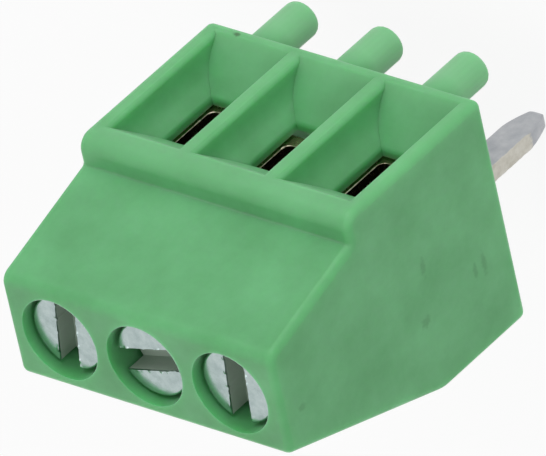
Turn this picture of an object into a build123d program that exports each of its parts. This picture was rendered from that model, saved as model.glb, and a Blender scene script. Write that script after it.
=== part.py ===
from build123d import *
import math
import os

# A three-pole screw terminal for a printed circuit board, in millimetres.
# The board lies in the plane z = 0 and the screws are driven from above.
# Wires enter from the front (-Y), the poles stand side by side along X,
# and the origin is the middle solder pin where it meets the board.

# Row of poles
poles = 3
pitch = 2.54
rib = 0.46

# Housing outline, seen from the side: depths run back from the wire face, heights up from the board
depth = 6.2
height = 8.5
ledge_height = 5.13
ledge_depth = 0.74
face_front_wall = 0.31
face_back_wall = 0.23
back_bend_height = 3.13
ledge_radius = 0.42
ledge_foot_radius = 0.06
brow_radius = 0.35
back_bend_radius = 1.0
edge_radius = 0.2
rim_radius = 0.18

# Wire funnels in the wire face, and the slots at their bottom
well_low = 0.28
well_top_wall = 0.63
well_side_depth = 0.55
funnel_depth = 1.05
funnel_turn_radius = 0.9
slot_width = 1.12
slot_low = 1.45
slot_high = 3.22
slot_wall = 0.2
slot_mouth_radius = 0.2

# Locating pegs under the housing
peg_diameter = 0.97
peg_length = 1.56
peg_depth = 0.535
peg_end_round = 0.2

# Screws: a slotted cheese head on a plain shank of the thread's outer size
thread_diameter = 1.6
screw_offset = 0.2
head_diameter = 2.02
head_height = 1.2
head_recess = 0.28
head_rim_round = 0.2
driver_slot_width = 0.6
driver_slot_depth = 0.6
driver_slot_angles = (82.0, 14.0, 85.0)
tip_chamfer = 0.2

# Clamp sleeves, which rise when the screws are tightened, and how far each is closed at rest
open_gap = 1.65
closed_gap = 0.075
sleeve_floor_thickness = 0.35
sleeve_top_thickness = 1.0
sleeve_window_width = 1.0
sleeve_window_radius = 0.2
sleeve_edge_chamfer = 0.08
sleeve_brow_chamfer = 0.65
partition = 0.34
closed_share = (0, 2 / 9, 0)

# Contacts: one strip, bent round behind the sleeve and down into the solder pin
contact_width = 0.8
contact_thickness = 0.48
contact_bend_radius = 0.4
contact_nose = 0.25
contact_back_wall = 0.97
pin_offset = 0.04
pin_length = 3.3
pin_taper_length = 0.95
pin_tip_width = 0.36
pin_tip_thickness = 0.32

# Clearances
sleeve_clearance = 0.05
sleeve_to_contact = 0.25
stop_gap = 0.05
slot_to_contact = 0.03
groove_clearance = 0.02
thread_clearance = 0.03
tip_gap = 0.03
screw_hole_clearance = 0.09
shank_hole_clearance = 0.05
head_gap = 0.03
chamber_head_room = 0.1
rim_gap = 0.005
web_thickness = 0.4

# Places across the row: pole 1 stands at the +X end
width = poles * pitch + rib
pole_x = [pitch * ((poles - 1) / 2 - number) for number in range(poles)]

# Places from front to back: the pins stand a little behind the middle of the depth
front = -depth / 2 - pin_offset
back = front + depth
floor_y = front + funnel_depth
chamber_front = floor_y + slot_wall
sleeve_front = chamber_front + sleeve_clearance
groove_back = back - contact_back_wall
leg_y = groove_back - groove_clearance - contact_thickness / 2
sleeve_back = leg_y - contact_thickness / 2 - sleeve_to_contact
chamber_back = sleeve_back + sleeve_clearance
screw_y = (sleeve_front + sleeve_back) / 2 + screw_offset

# Places from the board up
well_high = ledge_height - well_top_wall
contact_under = slot_high + slot_to_contact
contact_top = contact_under + contact_thickness
sleeve_floor = contact_under - open_gap
sleeve_bottom = sleeve_floor - sleeve_floor_thickness
sleeve_window_top = contact_top + stop_gap
sleeve_top = sleeve_window_top + sleeve_top_thickness
head_top = height - head_recess
head_bottom = head_top - head_height
shoulder = head_bottom - head_gap
chamber_top = shoulder - web_thickness
screw_tip = contact_top + tip_gap
lower_leg = sleeve_bottom - stop_gap - contact_thickness / 2
upper_leg = contact_under + contact_thickness / 2

# A sleeve rises until its floor nears the contact, or its top the chamber's
full_travel = min(open_gap - closed_gap, chamber_top - chamber_head_room - sleeve_top)
bore_low = screw_tip - full_travel - stop_gap

# Widths and bores that follow from the row and the clearances
well_width = pitch - rib
chamber_width = pitch - partition
sleeve_width = chamber_width - 2 * sleeve_clearance
sleeve_bore = thread_diameter / 2
shank_radius = sleeve_bore - thread_clearance
shank_hole = sleeve_bore + shank_hole_clearance
screw_hole = head_diameter / 2 + screw_hole_clearance

# Roundings that give way where a wall also carries the rim of a funnel
funnel_angle = math.atan2((well_width - slot_width) / 2, funnel_depth - well_side_depth)
turn_round = min(funnel_turn_radius, (well_side_depth - rim_radius - rim_gap) / math.tan(funnel_angle / 2))
ledge_round = min(ledge_radius, well_top_wall - rim_radius - rim_gap)
foot_round = min(edge_radius, 2 * (well_low - rim_radius))
side_round = min(edge_radius, rib - rim_radius - rim_gap)


def side_prism(outline, length, x):
    """A prism along X, centred on x, from an outline of (y, z) points."""
    face = make_face(Polyline(*[(0, y, z) for y, z in outline], close=True))
    return Pos(x, 0, 0) * extrude(face, length / 2, dir=(1, 0, 0), both=True)


def housing_blank():
    """The moulding's outer form: the rounded side outline carried across the row, its side edges eased."""
    corners = [
        ((front, 0), foot_round),
        ((front, ledge_height), ledge_round),
        ((front + ledge_depth, ledge_height), ledge_foot_radius),
        ((screw_y - screw_hole - face_front_wall, height), brow_radius),
        ((screw_y + screw_hole + face_back_wall, height), edge_radius),
        ((back, back_bend_height), back_bend_radius),
        ((back, 0), edge_radius),
    ]
    points = [(0, y, z) for (y, z), radius in corners]
    outline = FilletPolyline(*points, radius=[radius for point, radius in corners], close=True)
    blank = extrude(make_face(outline), width / 2, dir=(1, 0, 0), both=True)
    sides = blank.faces().filter_by(Axis.X)
    return fillet(sides.edges(), side_round)


def funnel(x):
    """One wire funnel and its slot: an outline seen from the side crossed with one seen from above."""
    side_y = front + well_side_depth
    from_side = [
        (front, well_low),
        (front, well_high),
        (floor_y, slot_high),
        (chamber_front, slot_high),
        (chamber_front, slot_low),
        (floor_y, slot_low),
    ]
    half = well_width / 2
    half_slot = slot_width / 2
    from_above = [
        (x - half, front),
        (x + half, front),
        (x + half, side_y),
        (x + half_slot, floor_y),
        (x + half_slot, chamber_front),
        (x - half_slot, chamber_front),
        (x - half_slot, floor_y),
        (x - half, side_y),
    ]
    ends = side_prism(from_side, well_width, x)
    ends = fillet(ends.edges().filter_by(Axis.X).group_by(Axis.Y)[1], slot_mouth_radius)
    plan = make_face(Polyline(*[(px, py, 0) for px, py in from_above], close=True))
    walls = extrude(plan, well_high, dir=(0, 0, 1))
    walls = fillet(walls.edges().filter_by(Axis.Z).group_by(Axis.Y)[2], slot_mouth_radius)
    walls = fillet(walls.edges().filter_by(Axis.Z).group_by(Axis.Y)[1], turn_round)
    return ends & walls


def chamber(x):
    """Room for one sleeve over its travel, open to the board, with a groove for the contact's back leg."""
    brow = chamber_front + sleeve_brow_chamfer
    room = [
        (chamber_front, 0),
        (chamber_front, chamber_top - sleeve_brow_chamfer),
        (brow, chamber_top),
        (chamber_back, chamber_top),
        (chamber_back, 0),
    ]
    groove = [
        (chamber_back, 0),
        (chamber_back, contact_top + groove_clearance),
        (groove_back, contact_top + groove_clearance),
        (groove_back, 0),
    ]
    groove_width = contact_width + 2 * groove_clearance
    return side_prism(room, chamber_width, x) + side_prism(groove, groove_width, x)


def upright(radius, low, high, x, y):
    """A cylinder about a vertical axis, from one height to another."""
    return Pos(x, y, low) * Cylinder(radius, high - low, align=(Align.CENTER, Align.CENTER, Align.MIN))


def turned(corners, ease, x, y):
    """A solid turned about an upright axis from (radius, z) corners, the first of them rounded by ease."""
    points = [Vector(radius, 0, z) for radius, z in corners]
    start = points[0] + (points[-1] - points[0]).normalized() * ease
    end = points[0] + (points[1] - points[0]).normalized() * ease
    outline = Bezier(start, points[0], end) + Polyline(end, *points[1:], start)
    return Pos(x, y, 0) * revolve(make_face(outline), Axis.Z)


def screw_way(x):
    """The stepped hole for one screw: wide for the head, narrower through the web that carries it."""
    wide = upright(screw_hole, shoulder, height, x, screw_y)
    return wide + upright(shank_hole, chamber_top, shoulder, x, screw_y)


def peg(x):
    """One moulded locating peg, its root inside the floor below the funnel and its end rounded."""
    root = well_low / 2
    radius = peg_diameter / 2
    corners = [(radius, -peg_length), (radius, root), (0, root), (0, -peg_length)]
    return turned(corners, peg_end_round, x, front + peg_depth)


def on_funnel_rim(edge):
    """True for the edges where a funnel breaks through the flat wire face."""
    middle = edge.center()
    in_face = abs(middle.Y - front) < rim_radius / 100
    in_height = well_low - rim_radius / 2 < middle.Z < well_high + rim_radius / 2
    in_row = any(abs(middle.X - x) < well_width / 2 + rim_radius / 2 for x in pole_x)
    return in_face and in_height and in_row


def make_housing():
    """The moulded housing: blank, funnels with a rounded rim, pegs, then the rooms inside."""
    body = housing_blank()
    for x in pole_x:
        body -= funnel(x)
    body = fillet(body.edges().filter_by(on_funnel_rim), rim_radius)
    for x in pole_x:
        body += peg(x)
        body -= chamber(x)
        body -= screw_way(x)
    return body


def make_screw(x, slot_angle):
    """One captive screw: a turned profile with a rounded rim, then the driver slot across its head."""
    half_head = head_diameter / 2
    corners = [
        (half_head, head_top),
        (0, head_top),
        (0, screw_tip),
        (shank_radius - tip_chamfer, screw_tip),
        (shank_radius, screw_tip + tip_chamfer),
        (shank_radius, head_bottom),
        (half_head, head_bottom),
    ]
    under_top = (Align.CENTER, Align.CENTER, Align.MAX)
    cutter = Box(head_diameter * 2, driver_slot_width, driver_slot_depth, align=under_top)
    blank = turned(corners, head_rim_round, x, screw_y)
    return blank - Pos(x, screw_y, head_top) * Rot(0, 0, slot_angle) * cutter


def make_sleeve(x, lift):
    """One clamp sleeve: a block with a rounded window for the wire and a bore with room for the screw."""
    brow = sleeve_front + sleeve_brow_chamfer
    outline = [
        (sleeve_front, sleeve_bottom),
        (sleeve_front, sleeve_top - sleeve_brow_chamfer),
        (brow, sleeve_top),
        (sleeve_back, sleeve_top),
        (sleeve_back, sleeve_bottom),
    ]
    block = side_prism(outline, sleeve_width, 0)
    block = chamfer(block.edges().filter_by(Axis.Z), sleeve_edge_chamfer)
    window_height = sleeve_window_top - sleeve_floor
    window = RectangleRounded(sleeve_window_width, window_height, sleeve_window_radius)
    through = sleeve_back - sleeve_front
    middle = (0, (sleeve_front + sleeve_back) / 2, sleeve_floor + window_height / 2)
    block -= extrude(Plane(middle, x_dir=(1, 0, 0), z_dir=(0, 1, 0)) * window, through, both=True)
    block -= upright(sleeve_bore, bore_low, sleeve_top, 0, screw_y)
    return Pos(x, 0, lift) * block


def make_contact(x):
    """One contact: a flat strip carried along its bends, ending in a pin tapered on all four sides."""
    taper_start = -(pin_length - pin_taper_length)
    path = FilletPolyline(
        (0, sleeve_front + contact_nose, upper_leg),
        (0, leg_y, upper_leg),
        (0, leg_y, lower_leg),
        (0, 0, lower_leg),
        (0, 0, taper_start),
        radius=contact_bend_radius,
    )
    section = Plane(path @ 0, x_dir=(1, 0, 0), z_dir=path % 0) * Rectangle(contact_width, contact_thickness)
    strip = sweep(section, path=path)
    root = Pos(0, 0, taper_start) * Rectangle(contact_width, contact_thickness)
    tip = Pos(0, 0, -pin_length) * Rectangle(pin_tip_width, pin_tip_thickness)
    return Pos(x, 0, 0) * (strip + loft([root, tip]))


os.makedirs("parts", exist_ok=True)
export_step(make_housing(), "parts/housing.step")
for number, x in enumerate(pole_x):
    pole = number + 1
    lift = closed_share[number] * full_travel
    export_step(make_screw(x, driver_slot_angles[number]), f"parts/screw_{pole}.step")
    export_step(make_sleeve(x, lift), f"parts/clamp_sleeve_{pole}.step")
    export_step(make_contact(x), f"parts/contact_{pole}.step")
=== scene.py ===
# %% [markdown]
# # A three-pole screw terminal for a circuit board
# A green moulded housing holds three poles side by side. In each pole a slotted screw turns in its
# place and lifts a metal sleeve, and the sleeve presses the wire against a tinned contact that ends
# in a solder pin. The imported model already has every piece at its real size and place, so this
# lesson adds what a drawing leaves out: the thread, the burrs of the slots, the sheared edges of the
# contacts, and the finish of each surface.

# %% Load the fixed frame
import math

import bmesh
import bpy
import numpy as np
from mathutils import Matrix, Vector


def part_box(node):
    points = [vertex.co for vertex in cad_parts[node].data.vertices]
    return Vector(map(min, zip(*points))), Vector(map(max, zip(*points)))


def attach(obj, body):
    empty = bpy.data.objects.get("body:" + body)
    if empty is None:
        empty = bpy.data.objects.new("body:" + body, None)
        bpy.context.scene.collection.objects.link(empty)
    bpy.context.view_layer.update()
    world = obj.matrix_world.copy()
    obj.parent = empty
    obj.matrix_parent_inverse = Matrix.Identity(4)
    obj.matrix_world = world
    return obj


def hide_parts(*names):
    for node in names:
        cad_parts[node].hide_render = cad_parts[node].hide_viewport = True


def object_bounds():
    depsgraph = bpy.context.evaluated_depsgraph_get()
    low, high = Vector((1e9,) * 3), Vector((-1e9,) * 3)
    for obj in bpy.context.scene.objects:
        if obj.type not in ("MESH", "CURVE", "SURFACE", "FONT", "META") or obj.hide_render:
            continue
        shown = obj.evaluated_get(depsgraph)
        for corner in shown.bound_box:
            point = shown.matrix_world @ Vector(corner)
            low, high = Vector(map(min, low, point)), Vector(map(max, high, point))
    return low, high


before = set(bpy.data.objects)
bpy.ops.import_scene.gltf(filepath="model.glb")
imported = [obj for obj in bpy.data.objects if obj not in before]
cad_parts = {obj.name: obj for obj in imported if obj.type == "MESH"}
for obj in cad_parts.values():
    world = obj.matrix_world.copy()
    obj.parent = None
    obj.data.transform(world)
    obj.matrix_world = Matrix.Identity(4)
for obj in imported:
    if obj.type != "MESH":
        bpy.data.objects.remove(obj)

MM = 0.001
cad_low, cad_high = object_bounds()
POLES = [1, 2, 3]
print("nodes:", ", ".join(sorted(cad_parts)))
print("box of the solids in mm:", [round(v / MM, 3) for v in (*cad_low, *cad_high)])

# %% [markdown]
# ## From arrays to a skin
# A surface here is an array of points with two parameters: one runs down the rows, the other along
# the columns. Blender can make such grids with its own primitives and modifiers, but an array keeps
# the formula in sight and moves thousands of points in one step. Grids that share an edge are welded
# into one closed skin, because a renderer and a printer both need walls without slits.

# %% Weld grids into one skin
WELD_GRAIN = 1e-5 * MM


def corner_numbers(rows, columns):
    """The four corner numbers of each cell of a grid whose points are numbered row by row."""
    number = np.arange(rows * columns).reshape(rows, columns)
    cells = [number[:-1, :-1], number[:-1, 1:], number[1:, 1:], number[1:, :-1]]
    return np.stack(cells, axis=-1).reshape(-1, 4)


def weld(points, triangles):
    """Points that fall in the same grain become one point, and triangles that shrink to a line go."""
    grains, place = np.unique(np.round(points / WELD_GRAIN).astype(np.int64), axis=0, return_inverse=True)
    a, b, c = place.reshape(-1)[triangles].T
    whole = (a != b) & (b != c) & (c != a)
    return grains * WELD_GRAIN, np.column_stack([a, b, c])[whole]


def skin(surfaces):
    """One welded skin from several grids, each an array of rows by columns by (x, y, z)."""
    points = np.concatenate([surface.reshape(-1, 3) for surface in surfaces])
    sizes = [surface.shape[0] * surface.shape[1] for surface in surfaces]
    firsts = np.cumsum([0] + sizes[:-1])
    cells = [corner_numbers(*surface.shape[:2]) + first for surface, first in zip(surfaces, firsts)]
    cells = np.concatenate(cells)
    return weld(points, np.concatenate([cells[:, [0, 1, 2]], cells[:, [0, 2, 3]]]))


print("a grid of 3 by 4 points has", len(corner_numbers(3, 4)), "cells")

# %% From a skin to a piece
SMOOTH_ANGLE = math.radians(38)


def new_object(name, points, triangles):
    """A mesh object at the origin, linked to the scene."""
    mesh = bpy.data.meshes.new(name)
    mesh.from_pydata(points.tolist(), [], triangles.tolist())
    made = bpy.data.objects.new(name, mesh)
    bpy.context.scene.collection.objects.link(made)
    return made


def make_piece(name, points, triangles, body, slot, node=None, turn_outwards=True):
    """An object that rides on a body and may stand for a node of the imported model."""
    piece = new_object(name, points, triangles)
    if turn_outwards:
        shell = bmesh.new()
        shell.from_mesh(piece.data)
        bmesh.ops.recalc_face_normals(shell, faces=shell.faces)
        shell.to_mesh(piece.data)
        shell.free()
    piece.data.shade_smooth()
    piece.data.set_sharp_from_angle(angle=SMOOTH_ANGLE)
    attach(piece, body)
    if node:
        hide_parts(node)
    print(f"{name}: {len(points)} points, {len(triangles)} triangles")
    return piece


# %% [markdown]
# ## The housing
# The housing is one injection moulding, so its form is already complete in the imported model. Only
# its shading is poor: every face of the drawing was meshed by itself, so light breaks at the line
# where a rounding meets a flat. A merged copy lets the normals run across those lines, and weighting
# them by face area keeps the large flats flat.


# %% Merge the housing's faces
def merged_copy(node):
    """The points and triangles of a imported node, with the seams between its faces closed."""
    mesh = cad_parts[node].data
    points = np.empty(len(mesh.vertices) * 3)
    mesh.vertices.foreach_get("co", points)
    corners = np.empty(len(mesh.loops), dtype=np.int32)
    mesh.loops.foreach_get("vertex_index", corners)
    return weld(points.reshape(-1, 3), corners.reshape(-1, 3))


housing = make_piece("moulded_housing", *merged_copy("housing"), "base", "green_housing", "housing",
                     turn_outwards=False)
even_light = housing.modifiers.new("flats_stay_flat", "WEIGHTED_NORMAL")
even_light.keep_sharp = True

# %% [markdown]
# ## The screws
# A terminal screw is turned from wire, slotted with a saw and rolled between thread dies. The turned
# part is a profile carried round the axis, and the thread is a ripple in its radius that climbs one
# pitch a turn. The sawn slot breaks the round form, so the head is laid out in strips across the
# slot: two crowns, two slot walls and a slot floor, which share their edge points and weld shut.

# %% Sizes of a screw
THREAD_PITCH = 0.35 * MM
THREAD_DEPTH = 0.2 * MM
SHANK_RADIUS = 0.77 * MM
HEAD_HEIGHT = 1.2 * MM
RIM_ROUND = 0.07 * MM
UNDERSIDE_EASE = 0.05 * MM
TIP_CHAMFER = 0.2 * MM
SLOT_WIDTH = 0.6 * MM
SLOT_DEPTH = 0.6 * MM
SLOT_ANGLES = {1: math.radians(82), 2: math.radians(14), 3: math.radians(85)}


def screw_place(pole):
    """A screw's axis (x, y), head radius, top and tip, read from its node's box."""
    low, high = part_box(f"screw_{pole}")
    middle = (low + high) / 2
    return middle.x, middle.y, (high.x - low.x) / 2, high.z, low.z


PITCH = screw_place(1)[0] - screw_place(2)[0]
for pole in POLES:
    print(f"screw {pole} in mm:", [round(v / MM, 3) for v in screw_place(pole)])

# %% The turned part, with its thread
SHANK_ROWS = 150
ROOT_LEVEL = 1.25
FLANK_SLOPE = 2.5


def ease(t):
    """The smooth step 3t^2 - 2t^3, held at 0 and 1 outside its range."""
    t = np.clip(t, 0, 1)
    return t * t * (3 - 2 * t)


def thread_ripple(height, angle, low, high):
    """How deep the thread cuts, from 0 at a crest to 1 at a root.

    The phase is height over pitch less the angle in turns, so equal phases climb one pitch a turn.
    The ripple is the distance from the middle of each turn, clipped to leave flat crests and roots,
    and it fades out over the first and last turn."""
    phase = (height / THREAD_PITCH - angle / (2 * math.pi)) % 1
    ripple = np.clip(ROOT_LEVEL - FLANK_SLOPE * np.abs(2 * phase - 1), 0, 1)
    fade = ease((height - low) / THREAD_PITCH) * ease((high - height) / THREAD_PITCH)
    return ripple * fade


def turned_part(angles, radius, slot_floor, underside, tip):
    """Head side, underside, threaded shank and chamfered tip as one grid: each row is a ring."""
    shank_heights = np.linspace(underside, tip + TIP_CHAMFER, SHANK_ROWS)
    rings = [(radius, slot_floor), (radius, underside + UNDERSIDE_EASE)]
    rings += [(radius - UNDERSIDE_EASE, underside)] + [(SHANK_RADIUS, z) for z in shank_heights]
    rings += [(SHANK_RADIUS - TIP_CHAMFER, tip), (0, tip)]
    ring_radius, ring_height = np.array(rings).T[:, :, None]
    cut = thread_ripple(ring_height, angles[None, :], tip + TIP_CHAMFER, underside)
    on_shank = (ring_height <= underside) & (ring_radius == SHANK_RADIUS)
    r = ring_radius - THREAD_DEPTH * cut * on_shank
    return np.stack(np.broadcast_arrays(r * np.cos(angles), r * np.sin(angles), ring_height), axis=-1)


print("height of the smooth step at a quarter and a half:", ease(0.25), ease(0.5))

# %% The crown of the head, with its burrs
WAVES = ((3.1, 0.3), (7.7, 1.9), (12.9, 4.2), (19.0, 2.6), (31.0, 5.1))
WAVE_SPREAD = 6
SEED_STEP = 7
CROWN_ROWS = 40
ROW_CROWDING = 1.6
BURR_HEIGHT = 0.022 * MM
BURR_OVERHANG = 0.02 * MM
BURR_REACH = 0.05 * MM
LIFT_RARITY = 3
PUSH_RARITY = 6


def unevenness(along, seed):
    """A fixed unevenness between 0 and 1: five sine waves of unequal length, each started elsewhere."""
    total = sum(np.sin(waves * along / MM + start + SEED_STEP * seed) for waves, start in WAVES)
    return np.clip(0.5 + total / WAVE_SPREAD, 0, 1)


def crown(side_angles, radius, top, seed):
    """One half of the head's top: columns run across from the slot's edge to the rim.

    Along a column a stays fixed and b goes from the slot's edge to the circle. The height falls
    towards the rim as a parabola does: at a distance s from the rim by e (1 - sqrt(s / e))^2.
    Near the slot's edge the burr lifts the metal and pushes it out over the slot; a high power of
    the unevenness leaves only a few bold burrs."""
    share = 1 - (1 - np.linspace(0, 1, CROWN_ROWS)[:, None] ** ROW_CROWDING) ** 2
    a = radius * np.cos(side_angles)[None, :]
    edge = SLOT_WIDTH / 2
    b = edge + share * (radius * np.sin(side_angles)[None, :] - edge)
    inset = np.clip(radius - np.hypot(a, b), 0, RIM_ROUND)
    drop = RIM_ROUND * (1 - np.sqrt(inset / RIM_ROUND)) ** 2
    near_slot = np.exp(-((b - edge) / BURR_REACH) ** 2) * (inset / RIM_ROUND)
    lift = BURR_HEIGHT * unevenness(a, seed) ** LIFT_RARITY * near_slot
    push = BURR_OVERHANG * unevenness(a, seed + 3) ** PUSH_RARITY * near_slot
    return np.stack(np.broadcast_arrays(a, b - push, top - drop + lift), axis=-1)


print("unevenness along a slot:", np.round(unevenness(np.linspace(-MM, MM, 5), 1), 2))

# %% The whole screw
END_POINTS = 9
SIDE_POINTS = 121
RIM_WALL_ROWS = 4
SLOT_WALL_ROWS = 12


def slot_floor_strip(side_angles, end_angles, radius, height):
    """The slot's floor: rows cross the slot, and columns run along it from rim to rim."""
    along = np.cos(side_angles) / math.cos(end_angles[-1])
    a = radius * np.cos(end_angles)[:, None] * along[None, :]
    b = radius * np.sin(end_angles)[:, None]
    return np.stack(np.broadcast_arrays(a, b, height), axis=-1)


def wall_between(upper, lower, rows):
    """A wall: each column is a straight line from a point of one edge to a point of another."""
    t = np.linspace(0, 1, rows)[:, None, None]
    return upper[None] * (1 - t) + lower[None] * t


def slotted_screw(pole):
    """All the grids of one screw, turned to its slot's angle and set on its axis."""
    x, y, radius, top, tip = screw_place(pole)
    slot_floor, underside = top - SLOT_DEPTH, top - HEAD_HEIGHT
    corner = math.asin(SLOT_WIDTH / 2 / radius)
    end_angles = np.linspace(-corner, corner, END_POINTS)
    side_angles = np.linspace(corner, math.pi - corner, SIDE_POINTS)
    angles = np.concatenate([end_angles[:-1], side_angles[:-1]])
    angles = np.concatenate([angles, angles + math.pi, [2 * math.pi - corner]])
    surfaces = [turned_part(angles, radius, slot_floor, underside, tip)]
    surfaces.append(slot_floor_strip(side_angles, end_angles, radius, slot_floor))
    a, b = radius * np.cos(side_angles), radius * np.sin(side_angles)
    rim_foot = np.stack(np.broadcast_arrays(a, b, slot_floor), axis=-1)
    lip_foot = np.stack(np.broadcast_arrays(a, SLOT_WIDTH / 2, slot_floor), axis=-1)
    for side, seed in ((1, pole), (-1, pole + 0.5)):
        top_face = crown(side_angles, radius, top, seed)
        rim_wall = wall_between(top_face[-1], rim_foot, RIM_WALL_ROWS)
        slot_wall = wall_between(top_face[0], lip_foot, SLOT_WALL_ROWS)
        surfaces += [surface * np.array([side, side, 1]) for surface in (top_face, rim_wall, slot_wall)]
    c, s = math.cos(SLOT_ANGLES[pole]), math.sin(SLOT_ANGLES[pole])
    turn = np.array([[c, s, 0], [-s, c, 0], [0, 0, 1]])
    return skin([surface @ turn + np.array([x, y, 0]) for surface in surfaces])


screws = {}
for pole in POLES:
    screws[pole] = make_piece(f"slotted_screw_{pole}", *slotted_screw(pole), f"screw_{pole}", "zinc_screw",
                              f"screw_{pole}")

# %% [markdown]
# ## The contacts
# Each contact is stamped from a strip, bent round behind the sleeve and pushed down into the board as
# a solder pin. It could be an extruded curve, but the stamp leaves its mark on the section: corners
# rolled over on one side and torn on the other. So a section is carried along the bent centre line
# as a superellipse, whose corners waver along the strip, and it shrinks to a blunt point at the pin.

# %% The bent centre line
STRIP_WIDTH = 0.8 * MM
STRIP_THICKNESS = 0.48 * MM
BEND_RADIUS = 0.4 * MM
SLEEVE_CLEARANCE = 0.05 * MM
# The strip's lower leg runs just under an open sleeve
LOWER_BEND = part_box("clamp_sleeve_1")[0].z - SLEEVE_CLEARANCE - STRIP_THICKNESS / 2
ARC_POINTS = 17
RUN_POINTS = 40
PIN_POINTS = 160


def bent_line(corners):
    """Points and directions of straight runs joined by quarter arcs, in the (y, z) plane.

    On an arc the point is the centre plus the radius times (way in by sine, less way out by cosine)."""
    corners = np.array(corners)
    way = np.diff(corners, axis=0)
    way /= np.linalg.norm(way, axis=1)[:, None]
    quarter = np.linspace(0, math.pi / 2, ARC_POINTS)[:-1, None]
    run = np.linspace(0, 1, RUN_POINTS)[:-1, None]
    points, directions, start = [], [], corners[0]
    for corner, into, out in zip(corners[1:-1], way[:-1], way[1:]):
        end = corner - into * BEND_RADIUS
        points.append(start + (end - start) * run)
        points.append(end + BEND_RADIUS * (out + into * np.sin(quarter) - out * np.cos(quarter)))
        directions.append(np.broadcast_to(into, (len(run), 2)))
        directions.append(into * np.cos(quarter) + out * np.sin(quarter))
        start = corner + out * BEND_RADIUS
    last_run = np.linspace(0, 1, PIN_POINTS)[:, None]
    points.append(start + (corners[-1] - start) * last_run)
    directions.append(np.broadcast_to(way[-1], (len(last_run), 2)))
    return np.concatenate(points), np.concatenate(directions)


print("lower bend at mm:", round(LOWER_BEND / MM, 3))

# %% The stamped section
TAPER_LENGTH = 0.95 * MM
TAPER_CURVE = 1.5
TIP_WIDTH = 0.36 * MM
TIP_THICKNESS = 0.32 * MM
TIP_ROUND = 0.12 * MM
TIP_SHRINK = 0.3
CRISP_POWER = 14
TORN_LOSS = 9.5
SECTION_POINTS = 96
END_ROWS = 5


def superellipse(turn, power, wide, thick):
    """Across and outward parts of a rounded oblong: |across|^p + |outward|^p = 1, stretched to size."""
    across = np.sign(np.cos(turn)) * np.abs(np.cos(turn)) ** (2 / power) * wide / 2
    outward = np.sign(np.sin(turn)) * np.abs(np.sin(turn)) ** (2 / power) * thick / 2
    return across, outward


def stamped_contact(pole):
    """One contact: a superellipse along the bent line, with wavering torn corners and a blunt point."""
    low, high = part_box(f"contact_{pole}")
    half = STRIP_THICKNESS / 2
    x, leg, upper = (low.x + high.x) / 2, high.y - half, high.z - half
    line, way = bent_line([(low.y, upper), (leg, upper), (leg, LOWER_BEND), (0, LOWER_BEND), (0, low.z)])
    run = np.concatenate([[0], np.cumsum(np.linalg.norm(np.diff(line, axis=0), axis=1))])[:, None]
    left = run[-1] - run
    taper = np.clip(1 - left / TAPER_LENGTH, 0, 1) ** TAPER_CURVE
    blunt = 1 - TIP_SHRINK * np.clip(1 - left / TIP_ROUND, 0, 1) ** 2
    wide = (STRIP_WIDTH + (TIP_WIDTH - STRIP_WIDTH) * taper) * blunt
    thick = (STRIP_THICKNESS + (TIP_THICKNESS - STRIP_THICKNESS) * taper) * blunt
    turn = np.linspace(0, 2 * math.pi, SECTION_POINTS + 1)[None, :]
    torn = np.clip(np.sin(turn), 0, 1) * unevenness(run, pole)
    across, outward = superellipse(turn, CRISP_POWER - TORN_LOSS * torn, wide, thick)
    y = line[:, :1] - way[:, 1:] * outward
    z = line[:, 1:] + way[:, :1] * outward
    strip = np.stack([x + across, y, z], axis=-1)
    middles = np.stack(np.broadcast_arrays(x, line[:, :1], line[:, 1:]), axis=-1)
    ends = [wall_between(strip[end], np.broadcast_to(middles[end], strip[end].shape), END_ROWS)
            for end in (0, -1)]
    return skin([strip, *ends])


contacts = {}
for pole in POLES:
    contacts[pole] = make_piece(f"stamped_contact_{pole}", *stamped_contact(pole), "base", "tinned_contact",
                                f"contact_{pole}")

# %% [markdown]
# ## The punched edge of the sleeves
# A sleeve's window is punched, and the punch leaves a thin raised edge that has lost its plating. It is
# the only part of a sleeve that catches the light behind the slot, so it is worth a piece of its own: a
# fine bead carried round the window, thicker here and thinner there, with a torn flake in the middle pole.

# %% The window's outline
WINDOW_HALF = 0.5 * MM
WINDOW_LOW, WINDOW_HIGH = 0.35 * MM, 2.53 * MM
WINDOW_CORNER = 0.2 * MM
CORNER_POINTS = 25
QUADRANTS = np.array([[1, 1], [-1, 1], [-1, -1], [1, -1], [1, 1]])


def window_outline(count):
    """Distances along a rounded oblong, its evenly spaced points (x, z) and the outward way at each."""
    quarter = np.linspace(0, math.pi / 2, CORNER_POINTS)
    turns = np.concatenate([quarter + k * math.pi / 2 for k in range(4)] + [[2 * math.pi]])
    reach = np.array([WINDOW_HALF, (WINDOW_HIGH - WINDOW_LOW) / 2]) - WINDOW_CORNER
    quadrant = np.repeat(QUADRANTS, [CORNER_POINTS] * 4 + [1], axis=0)
    corner = np.column_stack([np.cos(turns), np.sin(turns)]) * WINDOW_CORNER + quadrant * reach
    far = np.concatenate([[0], np.cumsum(np.linalg.norm(np.diff(corner, axis=0), axis=1))])
    at = np.linspace(0, far[-1], count)
    points = np.column_stack([np.interp(at, far, corner[:, k]) for k in (0, 1)])
    outward = np.column_stack([np.interp(at, far, wave) for wave in (np.cos(turns), np.sin(turns))])
    outward /= np.linalg.norm(outward, axis=1)[:, None]
    return at, points + [0, (WINDOW_LOW + WINDOW_HIGH) / 2], outward


print("way round a window in mm:", round(window_outline(2)[0][-1] / MM, 3))

# %% The bead round a window
BEAD_POINTS = 400
RING_POINTS = 17
BEAD_RADIUS = 0.014 * MM
BEAD_LEAST = 0.4
BEAD_PROUD = 0.03 * MM
FLAKE_SIZE = {1: 0.0, 2: 2.2, 3: 0.4}
FLAKE_HEIGHT = 2.1 * MM
FLAKE_REACH = 0.06 * MM


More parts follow.
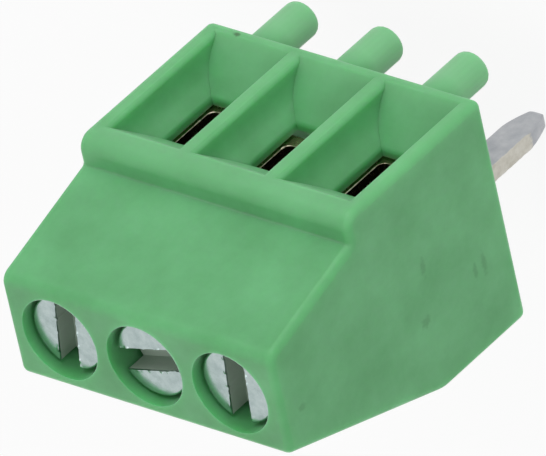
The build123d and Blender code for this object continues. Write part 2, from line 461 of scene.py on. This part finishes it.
def window_bead(pole):
    """A ring section carried round the window: outward by cosine, towards the front by sine.

    Its size is the least share plus the unevenness, and a bell curve round one place adds the flake."""
    low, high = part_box(f"clamp_sleeve_{pole}")
    at, points, outward = window_outline(BEAD_POINTS)
    size = BEAD_RADIUS * (BEAD_LEAST + unevenness(at, 2 * pole))
    from_flake = np.hypot(points[:, 0] - WINDOW_HALF, points[:, 1] - (FLAKE_HEIGHT - low.z))
    size = size + FLAKE_SIZE[pole] * BEAD_RADIUS * np.exp(-(from_flake / FLAKE_REACH) ** 2)
    size[-1] = size[0]
    ring = np.linspace(0, 2 * math.pi, RING_POINTS)
    x = (low.x + high.x) / 2 + points[:, :1] + outward[:, :1] * size[:, None] * np.cos(ring)
    y = low.y - np.minimum(size[:, None], BEAD_PROUD) * np.sin(ring)
    z = low.z + points[:, 1:] + outward[:, 1:] * size[:, None] * np.cos(ring)
    return skin([np.stack([x, y, z], axis=-1)])


beads = {}
for pole in POLES:
    beads[pole] = make_piece(f"window_edge_{pole}", *window_bead(pole), f"sleeve_{pole}", "plated_sleeve")

# %% [markdown]
# ## Shared effects
# Mouldings, plating and tin are never one even tone. Four effects are used again and again, so each
# is a node group with its own sockets: a cloudy tint, a fine grain for the bump, a small spot, and the
# distance from the nearest pole's axis, which lets one material serve all three poles. A few helpers
# come first, because adding, setting and linking a node by hand takes several lines.


# %% Nodes and groups
def new_group(name, inputs, outputs):
    """An empty shader group with named sockets, and its two end nodes."""
    tree = bpy.data.node_groups.new(name, "ShaderNodeTree")
    for socket, kind, value in inputs:
        made = tree.interface.new_socket(socket, in_out="INPUT", socket_type=f"NodeSocket{kind}")
        if value is not None:
            made.default_value = value
    for socket, kind in outputs:
        tree.interface.new_socket(socket, in_out="OUTPUT", socket_type=f"NodeSocket{kind}")
    return tree, tree.nodes.new("NodeGroupInput").outputs, tree.nodes.new("NodeGroupOutput").inputs


def add_node(tree, kind, inputs=None, **settings):
    """A node with its properties set and its inputs filled: a socket is linked, a value is set."""
    node = tree.nodes.new(f"ShaderNode{kind}")
    for key, value in settings.items():
        setattr(node, key, value)
    for key, given in (inputs or {}).items():
        if isinstance(given, bpy.types.NodeSocket):
            tree.links.new(given, node.inputs[key])
        else:
            node.inputs[key].default_value = given
    return node


def math_value(tree, operation, *terms):
    """The result of a Math node, whose terms are sockets or numbers."""
    return add_node(tree, "Math", dict(enumerate(terms)), operation=operation).outputs["Value"]


def vector_math(tree, operation, *terms):
    """The outputs of a Vector Math node, whose terms are sockets."""
    return add_node(tree, "VectorMath", dict(enumerate(terms)), operation=operation).outputs


def remap(tree, value, source=(0.0, 1.0), target=(0.0, 1.0), curve="LINEAR"):
    """A value carried from one range to another and held at its ends."""
    ranges = {"From Min": source[0], "From Max": source[1], "To Min": target[0], "To Max": target[1]}
    return add_node(tree, "MapRange", {"Value": value, **ranges}, interpolation_type=curve).outputs["Result"]


# A Mix node has its sockets once for each kind of value, so those for colours are called by number
MIX_SHARE, MIX_FIRST, MIX_SECOND, MIX_RESULT = 0, 6, 7, 2


def mixed_colour(tree, share, first, second):
    """Goes from a first colour to a second by a share; each is a socket or a value."""
    sockets = {MIX_SHARE: share, MIX_FIRST: first, MIX_SECOND: second}
    return add_node(tree, "Mix", sockets, data_type="RGBA").outputs[MIX_RESULT]


# %% Cloudy tint
def cloudy_tint():
    """Mixes two colours by soft noise, stretched about its middle; the mask comes out as well."""
    tree, ins, outs = new_group(
        "cloudy_tint",
        [("Vector", "Vector", None), ("Scale", "Float", 600.0),
         ("First", "Color", None), ("Second", "Color", None)],
        [("Color", "Color"), ("Mask", "Float")])
    clouds = {"Vector": ins["Vector"], "Scale": ins["Scale"], "Detail": 5.0, "Roughness": 0.6}
    noise = add_node(tree, "TexNoise", clouds).outputs["Fac"]
    mask = remap(tree, noise, source=(0.32, 0.68))
    tree.links.new(mixed_colour(tree, mask, ins["First"], ins["Second"]), outs["Color"])
    tree.links.new(mask, outs["Mask"])
    return tree


CLOUDY_TINT = cloudy_tint()
print("group:", CLOUDY_TINT.name)


# %% Fine grain
def fine_grain():
    """A height that adds a fine noise to a coarse one, each with its own scale, the coarse one weighted."""
    tree, ins, outs = new_group(
        "fine_grain",
        [("Vector", "Vector", None), ("Fine Scale", "Float", 20000.0),
         ("Coarse Scale", "Float", 1500.0), ("Coarse Weight", "Float", 2.0)],
        [("Height", "Float")])
    fine = {"Vector": ins["Vector"], "Scale": ins["Fine Scale"], "Detail": 3.0}
    coarse = {"Vector": ins["Vector"], "Scale": ins["Coarse Scale"], "Detail": 2.0}
    fine_noise = add_node(tree, "TexNoise", fine).outputs["Fac"]
    coarse_noise = add_node(tree, "TexNoise", coarse).outputs["Fac"]
    both = math_value(tree, "MULTIPLY_ADD", coarse_noise, ins["Coarse Weight"], fine_noise)
    tree.links.new(both, outs["Height"])
    return tree


FINE_GRAIN = fine_grain()
print("group:", FINE_GRAIN.name)


# %% Small spot
def small_spot():
    """1 inside a ragged spot round a place, 0 outside it.

    The distance from the place, counted in spot sizes, plus a noise, falls off through a smooth step."""
    tree, ins, outs = new_group(
        "small_spot",
        [("Vector", "Vector", None), ("Place", "Vector", None), ("Size", "Vector", (0.1 * MM,) * 3)],
        [("Mask", "Float")])
    ragging = {"Vector": ins["Vector"], "Scale": 9000.0, "Detail": 2.0}
    noise = add_node(tree, "TexNoise", ragging).outputs["Fac"]
    apart = vector_math(tree, "SUBTRACT", ins["Vector"], ins["Place"])["Vector"]
    in_sizes = vector_math(tree, "DIVIDE", apart, ins["Size"])["Vector"]
    ragged = math_value(tree, "ADD", vector_math(tree, "LENGTH", in_sizes)["Value"], noise)
    mask = remap(tree, ragged, source=(0.8, 1.5), target=(1.0, 0.0), curve="SMOOTHSTEP")
    tree.links.new(mask, outs["Mask"])
    return tree


SMALL_SPOT = small_spot()
print("group:", SMALL_SPOT.name)


# %% Distance from a pole
def pole_distance():
    """Distance across and round from the nearest pole's screw axis, in metres.

    The pole is the nearest whole multiple of the pitch along X."""
    tree, ins, outs = new_group(
        "pole_distance",
        [("Vector", "Vector", None), ("Pitch", "Float", PITCH), ("Axis Y", "Float", 0.0)],
        [("Across", "Float"), ("Radius", "Float")])
    parts = add_node(tree, "SeparateXYZ", {"Vector": ins["Vector"]}).outputs
    half_a_pitch_on = math_value(tree, "MULTIPLY_ADD", ins["Pitch"], 0.5, parts["X"])
    nearest = math_value(tree, "SNAP", half_a_pitch_on, ins["Pitch"])
    x = math_value(tree, "SUBTRACT", parts["X"], nearest)
    y = math_value(tree, "SUBTRACT", parts["Y"], ins["Axis Y"])
    flat = add_node(tree, "CombineXYZ", {"X": x, "Y": y}).outputs["Vector"]
    tree.links.new(math_value(tree, "ABSOLUTE", x), outs["Across"])
    tree.links.new(vector_math(tree, "LENGTH", flat)["Value"], outs["Radius"])
    return tree


POLE_DISTANCE = pole_distance()
print("group:", POLE_DISTANCE.name)

# %% [markdown]
# ## How a finish starts
# Every finish here begins alike: one shader, clouds for its colour and roughness, a grain for its bump,
# and stains laid over the colour one by one. Patterns could follow a UV map, but these pieces would have
# to be cut open and unrolled for that. Object coordinates need no cuts, and since every piece sits at
# the origin they are plain places on the part, in metres.


# %% Start a material
def new_material(name, metallic=0.0):
    """A material with its shader, an Object coordinate and a bump already in line."""
    material = bpy.data.materials.new(name)
    material.use_nodes = True
    tree = material.node_tree
    shader = tree.nodes["Principled BSDF"]
    shader.inputs["Metallic"].default_value = metallic
    place = add_node(tree, "TexCoord").outputs["Object"]
    bump = add_node(tree, "Bump")
    tree.links.new(bump.outputs["Normal"], shader.inputs["Normal"])
    return material, tree, shader, place, bump


def use_group(tree, group, vector, values):
    """A group placed in a material, fed with a coordinate and its own values."""
    return add_node(tree, "Group", {"Vector": vector, **values}, node_tree=group).outputs


def tinted(tree, place, shader, scale, first, second, smooth, rough):
    """Base colour and roughness that drift together in soft clouds: the second colour is the smooth one."""
    cloud = use_group(tree, CLOUDY_TINT, place, {"Scale": scale, "First": first, "Second": second})
    tree.links.new(cloud["Color"], shader.inputs["Base Color"])
    tree.links.new(remap(tree, cloud["Mask"], target=(rough, smooth)), shader.inputs["Roughness"])


def grained(tree, place, bump, fine, coarse, weight, strength, depth):
    """A bump from the fine grain."""
    values = {"Fine Scale": fine, "Coarse Scale": coarse, "Coarse Weight": weight}
    tree.links.new(use_group(tree, FINE_GRAIN, place, values)["Height"], bump.inputs["Height"])
    bump.inputs["Strength"].default_value = strength
    bump.inputs["Distance"].default_value = depth


def over(tree, shader, mask, colour):
    """Lays a colour over what already feeds the base colour, where a mask says so."""
    base = shader.inputs["Base Color"].links[0].from_socket
    tree.links.new(mixed_colour(tree, mask, base, colour), shader.inputs["Base Color"])


def wear(material, *pieces):
    """Gives each piece the material, in place of what it had."""
    for piece in pieces:
        piece.data.materials.clear()
        piece.data.materials.append(material)
    print(f"{material.name}: {len(material.node_tree.nodes)} nodes on {len(pieces)} pieces")


# %% [markdown]
# ## Green polyamide
# The housing is a polyamide with a satin skin: it scatters light a little, so edges glow, and its
# colour drifts in soft clouds where the melt flowed. A plain green with a sharp gloss would look like
# lacquer, so the gloss is wide and the grain of the mould shows as a very low bump. The front rims of
# the funnels and the pegs are painted paler green: painted light, in place of the sheen on the rims
# and the light from below on the pegs. A speck of dirt on a rim and a few faint darker spots on the
# end face keep it from looking too new.

# %% Green housing
DEEP_GREEN = (0.068, 0.336, 0.11, 1)
LIGHT_GREEN = (0.104, 0.436, 0.163, 1)
# Painted light: the front rims get a paler green, in place of the sheen that lights them
PAINTED_LIGHT_RIM_GREEN = (0.15, 0.45, 0.2, 1)
PAINTED_LIGHT_RIM_REACH = 0.4 * MM
PAINTED_LIGHT_RIM_SHARE = 0.42
# Painted light: the pegs get a paler green, in place of the light that reaches them from below
PAINTED_LIGHT_PEG_GREEN = (0.175, 0.48, 0.225, 1)
PAINTED_LIGHT_PEG_FADE = 0.5 * MM
SPECK_GREEN = (0.03, 0.15, 0.04, 1)
SPECK_PLACE = Vector((3.03 * MM, cad_low.y, 0.25 * MM))
SPECK_SIZE = Vector((0.13, 0.1, 0.09)) * MM
DARKER_SPOT_GREEN = (0.058, 0.298, 0.096, 1)
DARKER_SPOT_DEPTH = 0.2
# Each darker spot's place (y, z) on the end face and its reach along y and z, in millimetres
DARKER_SPOTS = [((0.35, 7.82), (0.16, 0.2)), ((-0.38, 3.03), (0.36, 0.13)), ((0.81, 1.05), (0.42, 0.12)),
         ((0.86, 1.38), (0.3, 0.1)), ((1.0, 3.32), (0.2, 0.22))]
SATIN_SKIN = {"IOR": 1.5, "Specular IOR Level": 0.78, "Subsurface Weight": 0.9, "Subsurface Scale": 0.8 * MM,
              "Subsurface Radius": (0.4, 1.0, 0.5), "Sheen Weight": 0.12, "Sheen Roughness": 0.4}


def green_polyamide():
    """Clouds of green, with painted light on the rims and pegs, and darker spots and a speck over them."""
    material, tree, shader, place, bump = new_material("green_polyamide")
    tinted(tree, place, shader, scale=560.0, first=DEEP_GREEN, second=LIGHT_GREEN, smooth=0.46, rough=0.58)
    grained(tree, place, bump, fine=26000.0, coarse=1500.0, weight=2.0, strength=0.1, depth=0.005 * MM)
    parts = add_node(tree, "SeparateXYZ", {"Vector": place}).outputs
    # Painted light: a paler green laid on the front rims and on the pegs below the housing
    painted_light_at_rim = remap(tree, parts["Y"], source=(cad_low.y + PAINTED_LIGHT_RIM_REACH, cad_low.y), target=(0.0, PAINTED_LIGHT_RIM_SHARE),
                   curve="SMOOTHSTEP")
    over(tree, shader, painted_light_at_rim, PAINTED_LIGHT_RIM_GREEN)
    over(tree, shader, remap(tree, parts["Z"], source=(0.0, -PAINTED_LIGHT_PEG_FADE)), PAINTED_LIGHT_PEG_GREEN)
    # A few small darker green spots are laid over the colour of the end face
    for (y, z), reach in DARKER_SPOTS:
        spot = {"Place": Vector((cad_low.x, y * MM, z * MM)), "Size": Vector((DARKER_SPOT_DEPTH, *reach)) * MM}
        over(tree, shader, use_group(tree, SMALL_SPOT, place, spot)["Mask"], DARKER_SPOT_GREEN)
    speck = use_group(tree, SMALL_SPOT, place, {"Place": SPECK_PLACE, "Size": SPECK_SIZE})
    over(tree, shader, speck["Mask"], SPECK_GREEN)
    for socket, value in SATIN_SKIN.items():
        shader.inputs[socket].default_value = value
    return material


wear(green_polyamide(), housing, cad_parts["housing"])

# %% [markdown]
# ## Zinc
# The screws are zinc plated, with a cool and slightly cloudy shine. Turning left fine rings on the
# heads, so the bump follows the distance from the screw's axis. The saw left the slots dull: a mask of
# height and radius finds them, and there the metal is rougher and shines less. There its colour is
# also a greener grey: painted reflection of the green housing.

# %% Zinc screws
DARK_ZINC, LIGHT_ZINC = (0.35, 0.43, 0.425, 1), (0.465, 0.55, 0.54, 1)
# The slot's greener grey is painted reflection of the green housing; its dullness is the saw's
SLOT_ZINC_PAINTED_GREENER = (0.4, 0.47, 0.41, 1)
SAWN_MIDDLE, SAWN_HALF = 0.55 * SLOT_DEPTH, 0.47 * SLOT_DEPTH
SAWN_MARGIN = 0.01 * MM
SAWN_ROUGHER = 0.5
SAWN_METALLIC = 0.65


def zinc_plate():
    """Cloudy zinc with turned rings; in the slot, found by height and radius, dull and painted greener."""
    material, tree, shader, place, bump = new_material("zinc_plate", 1.0)
    tinted(tree, place, shader, scale=3800.0, first=DARK_ZINC, second=LIGHT_ZINC, smooth=0.17, rough=0.26)
    _, axis_y, head_radius, head_top, _ = screw_place(1)
    axis = use_group(tree, POLE_DISTANCE, place, {"Axis Y": axis_y})
    height = add_node(tree, "SeparateXYZ", {"Vector": place}).outputs["Z"]
    at_slot = math_value(tree, "COMPARE", height, head_top - SAWN_MIDDLE, SAWN_HALF)
    inside = math_value(tree, "LESS_THAN", axis["Radius"], head_radius - SAWN_MARGIN)
    sawn = math_value(tree, "MULTIPLY", at_slot, inside)
    # Painted reflection: the slot gets a greener grey where the green housing would show in it
    over(tree, shader, sawn, SLOT_ZINC_PAINTED_GREENER)
    plated = shader.inputs["Roughness"].links[0].from_socket
    dull = math_value(tree, "MULTIPLY_ADD", sawn, SAWN_ROUGHER, plated)
    tree.links.new(dull, shader.inputs["Roughness"])
    tree.links.new(remap(tree, sawn, target=(1.0, SAWN_METALLIC)), shader.inputs["Metallic"])
    grained(tree, place, bump, fine=30000.0, coarse=6000.0, weight=1.0, strength=0.08, depth=0.01 * MM)
    grain = bump.inputs["Height"].links[0].from_socket
    turning = {"W": axis["Radius"], "Scale": 9000.0, "Detail": 3.0}
    rings = add_node(tree, "TexNoise", turning, noise_dimensions="1D").outputs["Fac"]
    tree.links.new(math_value(tree, "ADD", rings, grain), bump.inputs["Height"])
    return material


wear(zinc_plate(), *screws.values(), *[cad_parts[f"screw_{pole}"] for pole in POLES])

# %% [markdown]
# ## Plated brass and matt tin
# The sleeves are brass under thin nickel, warm, and painted far darker than the metal: painted shade
# for the shade they sit in behind the slots. They are bare and pale on the punched edge. The contacts
# are tinned strip, grey on the rolled faces; their sheared sides show the warmer metal that the tin
# has only half covered.

# %% Plated sleeves
# Painted shade: the sleeves' brass is painted far darker than the metal, for the shade behind the slots
BRASS_IN_PAINTED_SHADE, PALER_BRASS_IN_PAINTED_SHADE = (0.2, 0.165, 0.095, 1), (0.34, 0.29, 0.18, 1)
DULL_EDGE, BARE_EDGE = (0.24, 0.2, 0.12, 1), (0.74, 0.69, 0.55, 1)


def plated_brass_in_painted_shade():
    """Warm metal painted dark as painted shade, in soft clouds, with a low grain."""
    material, tree, shader, place, bump = new_material("plated_brass_in_painted_shade", 1.0)
    tinted(tree, place, shader, scale=3000.0, first=BRASS_IN_PAINTED_SHADE, second=PALER_BRASS_IN_PAINTED_SHADE, smooth=0.2, rough=0.32)
    grained(tree, place, bump, fine=24000.0, coarse=4000.0, weight=1.0, strength=0.2, depth=0.01 * MM)
    return material


def worn_edge():
    """The same metal in smaller clouds that reach a bare, pale tone."""
    material, tree, shader, place, bump = new_material("worn_edge", 1.0)
    tinted(tree, place, shader, scale=9000.0, first=DULL_EDGE, second=BARE_EDGE, smooth=0.25, rough=0.42)
    grained(tree, place, bump, fine=40000.0, coarse=12000.0, weight=1.0, strength=0.4, depth=0.01 * MM)
    return material


wear(plated_brass_in_painted_shade(), *[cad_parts[f"clamp_sleeve_{pole}"] for pole in POLES])
wear(worn_edge(), *beads.values())

# %% Tinned contacts
DARK_TIN, LIGHT_TIN = (0.37, 0.385, 0.41, 1), (0.47, 0.48, 0.495, 1)
SHEARED = {"Scale": 4200.0, "First": (0.47, 0.45, 0.39, 1), "Second": (0.6, 0.585, 0.53, 1)}
SHEAR_WAVER = 0.05 * MM
SHEAR_START, SHEAR_FULL = 0.405 * MM, 0.415 * MM


def matt_tin():
    """Grey tin, and a warmer tint where the distance across plus a noise passes the strip's edge."""
    material, tree, shader, place, bump = new_material("matt_tin", 1.0)
    tinted(tree, place, shader, scale=2600.0, first=DARK_TIN, second=LIGHT_TIN, smooth=0.34, rough=0.48)
    grained(tree, place, bump, fine=22000.0, coarse=3000.0, weight=1.5, strength=0.3, depth=0.012 * MM)
    across = use_group(tree, POLE_DISTANCE, place, {})["Across"]
    noise = add_node(tree, "TexNoise", {"Vector": place, "Scale": 5200.0, "Detail": 3.0}).outputs["Fac"]
    wavering = math_value(tree, "MULTIPLY_ADD", noise, SHEAR_WAVER, across)
    at_side = remap(tree, wavering, source=(SHEAR_START, SHEAR_FULL))
    over(tree, shader, at_side, use_group(tree, CLOUDY_TINT, place, SHEARED)["Color"])
    return material


wear(matt_tin(), *contacts.values(), *[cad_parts[f"contact_{pole}"] for pole in POLES])

# %% [markdown]
# ## The floor
# The part is shown on a pale floor, as on a sheet of paper. A white floor could come from strong lamps,
# but they would bleach the part as well. So the paper is white by itself to the camera and to
# reflections, and only a tenth of what is seen there is lit, which keeps the part's soft shadow. From
# below it is clear, so that the underside can be looked at.

# %% Floor
FLOOR_RADIUS = 400 * MM
FLOOR_SPOKES, FLOOR_RINGS = 65, 9
FLOOR_SHADOW = 0.1
PAPER_SHADE, PAPER_ROUGHNESS = (0.9, 0.9, 0.9, 1), 0.9


def pale_floor():
    """A disc under the pin tips, its angle counted backwards so that its faces look up."""
    turn = np.linspace(2 * math.pi, 0, FLOOR_SPOKES)
    radius = np.linspace(0, FLOOR_RADIUS, FLOOR_RINGS)[:, None]
    disc = np.stack(np.broadcast_arrays(radius * np.cos(turn), radius * np.sin(turn), cad_low.z), axis=-1)
    floor = new_object("pale_floor", *skin([disc]))
    return floor


def sees_background(tree):
    """1 on camera, glossy and transmission rays, 0 on the rays that carry light."""
    path = add_node(tree, "LightPath").outputs
    seen = math_value(tree, "MAXIMUM", path["Is Camera Ray"], path["Is Glossy Ray"])
    return math_value(tree, "MAXIMUM", seen, path["Is Transmission Ray"])


def floor_paper():
    """White to what looks at it, apart from the shadow's share; plain paper to light; clear from below."""
    material = bpy.data.materials.new("floor_paper")
    material.use_nodes = True
    tree = material.node_tree
    lit = tree.nodes["Principled BSDF"]
    lit.inputs["Base Color"].default_value = PAPER_SHADE
    lit.inputs["Roughness"].default_value = PAPER_ROUGHNESS
    white = add_node(tree, "Emission", {"Strength": 1.0}).outputs["Emission"]
    share = math_value(tree, "MULTIPLY", sees_background(tree), 1 - FLOOR_SHADOW)
    paper = add_node(tree, "MixShader", {0: share, 1: lit.outputs["BSDF"], 2: white}).outputs["Shader"]
    clear = add_node(tree, "BsdfTransparent").outputs["BSDF"]
    under = add_node(tree, "NewGeometry").outputs["Backfacing"]
    both = add_node(tree, "MixShader", {0: under, 1: paper, 2: clear}).outputs["Shader"]
    tree.links.new(both, tree.nodes["Material Output"].inputs["Surface"])
    return material


floor = pale_floor()
floor.data.materials.append(floor_paper())
print("floor at mm:", round(cad_low.z / MM, 3))

# %% [markdown]
# ## The light
# Small glossy parts are often shot in a tent of white cloth, which lights them evenly from all round.
# The sky does that here, and it is plain white to the camera and to reflections. Four wide lamps, in
# front, at one end, above and behind, then give the faces their difference.

# %% Sky and lamps
SKY_STRENGTH = 0.42
LAMP_DISTANCE = 400 * MM
# Each lamp's direction from the part, its size and its power in watts
LAMPS = {"front_lamp": ((0.0, -0.99, 0.1), 220 * MM, 0.92),
         "side_lamp": ((-0.9, -0.4, 0.1), 220 * MM, 0.4),
         "top_lamp": ((0.0, 0.0, 1.0), 420 * MM, 0.46),
         "back_lamp": ((0.3, 0.95, 0.1), 220 * MM, 0.35)}


def white_sky():
    """An even sky, at full white to what looks at it and weaker as a source of light."""
    world = bpy.data.worlds.new("white_sky")
    bpy.context.scene.world = world
    world.use_nodes = True
    tree = world.node_tree
    background = tree.nodes["Background"]
    background.inputs["Color"].default_value = (1, 1, 1, 1)
    strength = remap(tree, sees_background(tree), target=(SKY_STRENGTH, 1.0))
    tree.links.new(strength, background.inputs["Strength"])


def soft_lamp(name, direction, size, power):
    """A square lamp that faces the part from a direction."""
    lamp = bpy.data.lights.new(name, "AREA")
    lamp.shape = "SQUARE"
    lamp.size = size
    lamp.energy = power
    holder = bpy.data.objects.new(name, lamp)
    away = Vector(direction).normalized()
    holder.location = (cad_low + cad_high) / 2 + away * LAMP_DISTANCE
    holder.rotation_euler = (-away).to_track_quat("-Z", "Y").to_euler()
    bpy.context.scene.collection.objects.link(holder)


white_sky()
for name, (direction, size, power) in LAMPS.items():
    soft_lamp(name, direction, size, power)
print("lamps:", ", ".join(LAMPS))

# %% [markdown]
# ## The camera
# The part is seen from above its wire side, turned so that the screws point down to the left. The
# camera stands far off with a long lens, because a close one would splay the parallel edges. Its three
# axes are worked out from the viewing angles and then rolled about the line of sight.

# %% Camera
CAMERA_AZIMUTH = math.radians(-46.372)
CAMERA_ELEVATION = math.radians(35.431)
CAMERA_ROLL = math.radians(-131.731)
CAMERA_DISTANCE = 398 * MM
CAMERA_AIM = Vector((0.370, -0.265, 3.118)) * MM
CAMERA_LENS = 1135.18
SENSOR_WIDTH = 36
back = Vector((math.sin(CAMERA_AZIMUTH) * math.cos(CAMERA_ELEVATION),
               -math.cos(CAMERA_AZIMUTH) * math.cos(CAMERA_ELEVATION),
               math.sin(CAMERA_ELEVATION)))
level = Vector((math.cos(CAMERA_AZIMUTH), math.sin(CAMERA_AZIMUTH), 0))
upright = Matrix((level, back.cross(level), back)).transposed()
rolled = upright @ Matrix.Rotation(CAMERA_ROLL, 3, "Z")
lens = bpy.data.cameras.new("camera")
lens.lens = CAMERA_LENS
lens.sensor_width = SENSOR_WIDTH
lens.sensor_fit = "HORIZONTAL"
camera = bpy.data.objects.new("camera", lens)
camera.matrix_world = Matrix.Translation(CAMERA_AIM + back * CAMERA_DISTANCE) @ rolled.to_4x4()
bpy.context.scene.collection.objects.link(camera)
bpy.context.scene.camera = camera
bpy.context.scene.view_settings.view_transform = "Standard"
print("camera at mm:", [round(v / MM, 2) for v in camera.location])
